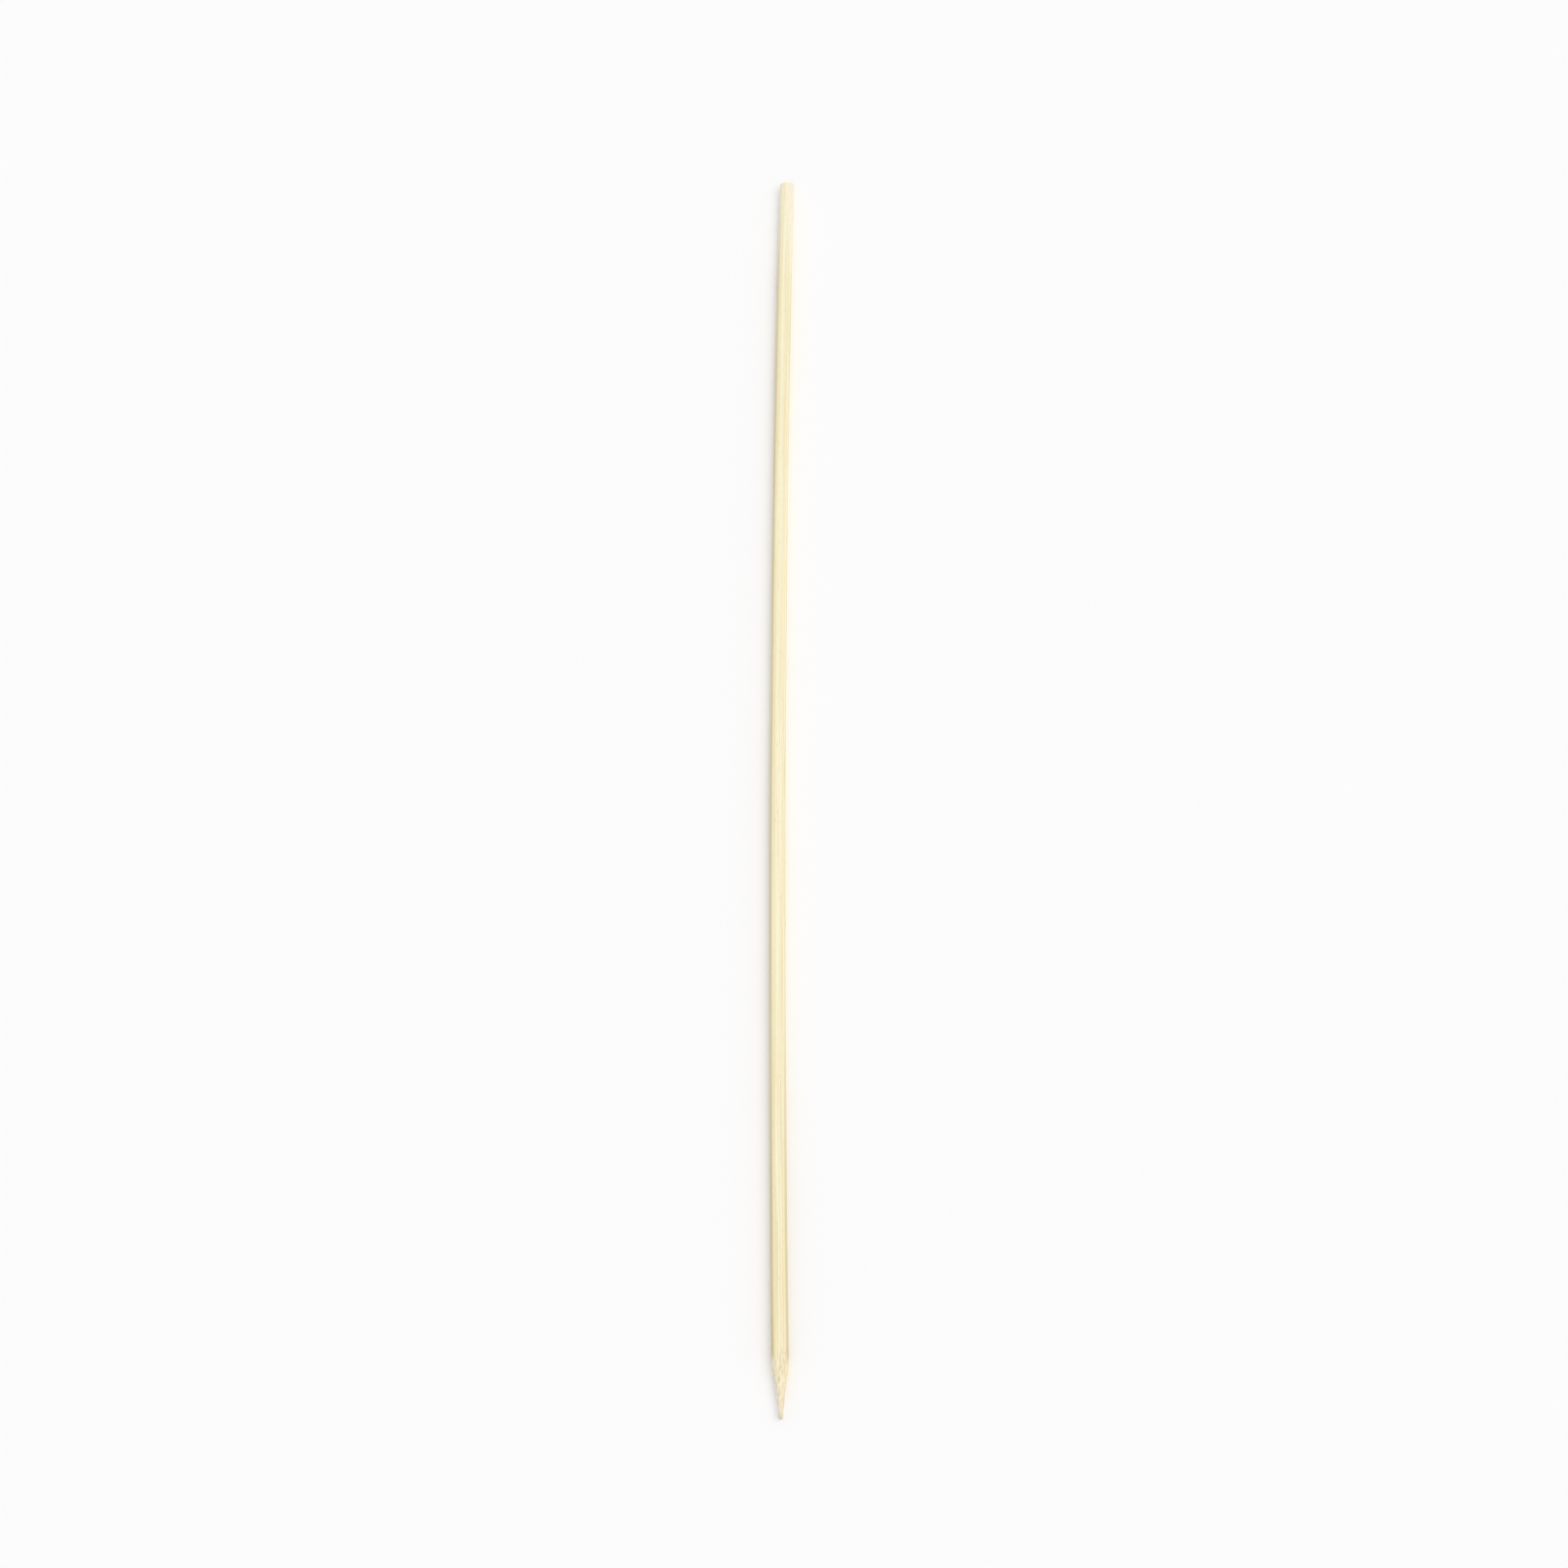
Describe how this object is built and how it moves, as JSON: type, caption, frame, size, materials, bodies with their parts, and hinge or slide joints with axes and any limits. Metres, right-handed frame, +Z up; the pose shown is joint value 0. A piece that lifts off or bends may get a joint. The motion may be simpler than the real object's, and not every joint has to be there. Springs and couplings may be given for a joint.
{
  "type": "candy floss stick",
  "caption": "Slim bamboo stick with round planed sides, a flat top and underside, a ground point at one end and a square sawn end at the other.",
  "frame": {"origin": "on the surface the stick lies on, under the middle of its box", "axes": "+Z up, +Y along the stick towards its sawn end, the point towards -Y"},
  "size_m": [0.0064, 0.4, 0.0038],
  "materials": {
    "bamboo": "bare split bamboo, planed and tumbled, pale cream with fine lengthwise fibres"
  },
  "bodies": {
    "root": {"bamboo_stick": "bamboo"}
  },
  "joints": []
}
